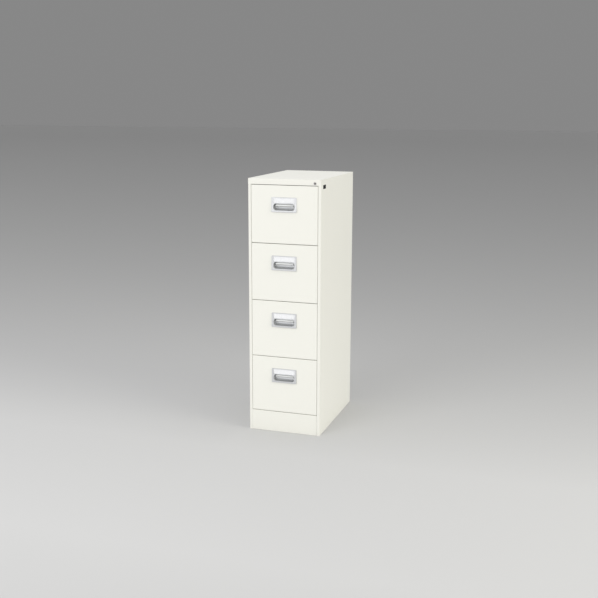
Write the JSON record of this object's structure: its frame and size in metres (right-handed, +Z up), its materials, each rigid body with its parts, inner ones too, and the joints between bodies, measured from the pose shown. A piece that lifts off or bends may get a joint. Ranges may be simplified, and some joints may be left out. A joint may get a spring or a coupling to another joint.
{
  "type": "filing cabinet",
  "caption": "Tall narrow steel filing cabinet with full-width drawers on telescopic slides, recessed pull handles with latches, and a key lock in the top rail.",
  "frame": {"origin": "on the floor, in the middle of the whole object's width and depth", "axes": "+Z up, -Y out of the drawers' fronts, +X to the right of someone who faces them"},
  "size_m": [0.387, 0.6269, 1.335],
  "materials": {
    "carcass_paint": "smooth warm white powder coat, satin",
    "drawer_paint": "smooth warm white powder coat, satin",
    "inner_steel": "white powder coat, thinner on the inside",
    "tray_paint": "white powder coat",
    "slide_steel": "bright zinc-plated rolled steel",
    "zinc_steel": "zinc-plated steel",
    "lock_metal": "nickel-plated, polished",
    "foot_metal": "zinc-plated steel",
    "plug_plastic": "black moulded plastic",
    "buffer_rubber": "black rubber",
    "divider_steel": "light grey paint",
    "handle_silver": "satin silver die casting",
    "label_card": "plain white card, bare",
    "label_window": "clear plastic",
    "latch_metal": "satin silver die casting",
    "spring_steel": "bright spring wire"
  },
  "bodies": {
    "cabinet": {"left_side_panel": "carcass_paint", "right_side_panel": "carcass_paint", "top_panel": "carcass_paint", "back_panel": "carcass_paint", "kick_plate": "carcass_paint", "floor_pan": "inner_steel", "slide_posts": "inner_steel", "cross_rails": "inner_steel", "cabinet_slides": "slide_steel", "latch_strikes": "inner_steel", "lock_barrel": "lock_metal", "lock_clip": "zinc_steel", "lock_bar_guides": "inner_steel", "side_plug": "plug_plastic", "foot_brackets": "inner_steel", "levelling_feet": "foot_metal", "drawer_buffers": "buffer_rubber"},
    "lock_plug": {"lock_plug": "lock_metal", "lock_cam": "zinc_steel"},
    "lock_bar": {"lock_bar": "zinc_steel"},
    "drawer_1": {"drawer_front_1": "drawer_paint", "drawer_tray_1": "tray_paint", "handle_1": "handle_silver", "label_card_1": "label_card", "label_window_1": "label_window", "latch_spring_1": "spring_steel", "drawer_slides_1": "slide_steel"},
    "middle_slides_1": {"middle_slides_1": "slide_steel"},
    "latch_1": {"latch_1": "latch_metal"},
    "divider_1": {"divider_1": "divider_steel"},
    "drawer_2": {"drawer_front_2": "drawer_paint", "drawer_tray_2": "tray_paint", "handle_2": "handle_silver", "label_card_2": "label_card", "label_window_2": "label_window", "latch_spring_2": "spring_steel", "drawer_slides_2": "slide_steel"},
    "middle_slides_2": {"middle_slides_2": "slide_steel"},
    "latch_2": {"latch_2": "latch_metal"},
    "divider_2": {"divider_2": "divider_steel"},
    "drawer_3": {"drawer_front_3": "drawer_paint", "drawer_tray_3": "tray_paint", "handle_3": "handle_silver", "label_card_3": "label_card", "label_window_3": "label_window", "latch_spring_3": "spring_steel", "drawer_slides_3": "slide_steel"},
    "middle_slides_3": {"middle_slides_3": "slide_steel"},
    "latch_3": {"latch_3": "latch_metal"},
    "divider_3": {"divider_3": "divider_steel"},
    "drawer_4": {"drawer_front_4": "drawer_paint", "drawer_tray_4": "tray_paint", "handle_4": "handle_silver", "label_card_4": "label_card", "label_window_4": "label_window", "latch_spring_4": "spring_steel", "drawer_slides_4": "slide_steel"},
    "middle_slides_4": {"middle_slides_4": "slide_steel"},
    "latch_4": {"latch_4": "latch_metal"},
    "divider_4": {"divider_4": "divider_steel"}
  },
  "joints": [
    {"name": "drawer_1_slide", "type": "slide", "parent": "cabinet", "child": "drawer_1", "axis": [0, -1, 0], "range_m": [0, 0.52]},
    {"name": "middle_slides_1_slide", "type": "slide", "parent": "cabinet", "child": "middle_slides_1", "axis": [0, -1, 0], "range_m": [0, 0.26]},
    {"name": "latch_1_lever", "type": "hinge", "parent": "drawer_1", "child": "latch_1", "pos_m": [0, -0.2935, 1.2245], "axis": [-1, 0, 0], "range_deg": [0, 16], "stiffness_Nm_per_rad": 0.6, "springref_deg": -8.59},
    {"name": "divider_1_slide", "type": "slide", "parent": "drawer_1", "child": "divider_1", "axis": [0, -1, 0], "range_m": [0, 0.3]},
    {"name": "drawer_2_slide", "type": "slide", "parent": "cabinet", "child": "drawer_2", "axis": [0, -1, 0], "range_m": [0, 0.52]},
    {"name": "middle_slides_2_slide", "type": "slide", "parent": "cabinet", "child": "middle_slides_2", "axis": [0, -1, 0], "range_m": [0, 0.26]},
    {"name": "latch_2_lever", "type": "hinge", "parent": "drawer_2", "child": "latch_2", "pos_m": [0, -0.2935, 0.926], "axis": [-1, 0, 0], "range_deg": [0, 16], "stiffness_Nm_per_rad": 0.6, "springref_deg": -8.59},
    {"name": "divider_2_slide", "type": "slide", "parent": "drawer_2", "child": "divider_2", "axis": [0, -1, 0], "range_m": [0, 0.3]},
    {"name": "drawer_3_slide", "type": "slide", "parent": "cabinet", "child": "drawer_3", "axis": [0, -1, 0], "range_m": [0, 0.52]},
    {"name": "middle_slides_3_slide", "type": "slide", "parent": "cabinet", "child": "middle_slides_3", "axis": [0, -1, 0], "range_m": [0, 0.26]},
    {"name": "latch_3_lever", "type": "hinge", "parent": "drawer_3", "child": "latch_3", "pos_m": [0, -0.2935, 0.6275], "axis": [-1, 0, 0], "range_deg": [0, 16], "stiffness_Nm_per_rad": 0.6, "springref_deg": -8.59},
    {"name": "divider_3_slide", "type": "slide", "parent": "drawer_3", "child": "divider_3", "axis": [0, -1, 0], "range_m": [0, 0.3]},
    {"name": "drawer_4_slide", "type": "slide", "parent": "cabinet", "child": "drawer_4", "axis": [0, -1, 0], "range_m": [0, 0.52]},
    {"name": "middle_slides_4_slide", "type": "slide", "parent": "cabinet", "child": "middle_slides_4", "axis": [0, -1, 0], "range_m": [0, 0.26]},
    {"name": "latch_4_lever", "type": "hinge", "parent": "drawer_4", "child": "latch_4", "pos_m": [0, -0.2935, 0.329], "axis": [-1, 0, 0], "range_deg": [0, 16], "stiffness_Nm_per_rad": 0.6, "springref_deg": -8.59},
    {"name": "divider_4_slide", "type": "slide", "parent": "drawer_4", "child": "divider_4", "axis": [0, -1, 0], "range_m": [0, 0.3]},
    {"name": "lock_turn", "type": "hinge", "parent": "cabinet", "child": "lock_plug", "pos_m": [0.162, -0.3065, 1.3165], "axis": [0, 1, 0], "range_deg": [0, 90]},
    {"name": "lock_bar_lift", "type": "slide", "parent": "cabinet", "child": "lock_bar", "axis": [0, 0, 1], "range_m": [0, 0.01202]}
  ],
  "couplings": [
    {"joint": "middle_slides_1_slide", "follows": "drawer_1_slide", "ratio": 0.5},
    {"joint": "middle_slides_2_slide", "follows": "drawer_2_slide", "ratio": 0.5},
    {"joint": "middle_slides_3_slide", "follows": "drawer_3_slide", "ratio": 0.5},
    {"joint": "middle_slides_4_slide", "follows": "drawer_4_slide", "ratio": 0.5},
    {"joint": "lock_turn", "follows": "lock_bar_lift", "rad_per_m": 130.67}
  ]
}
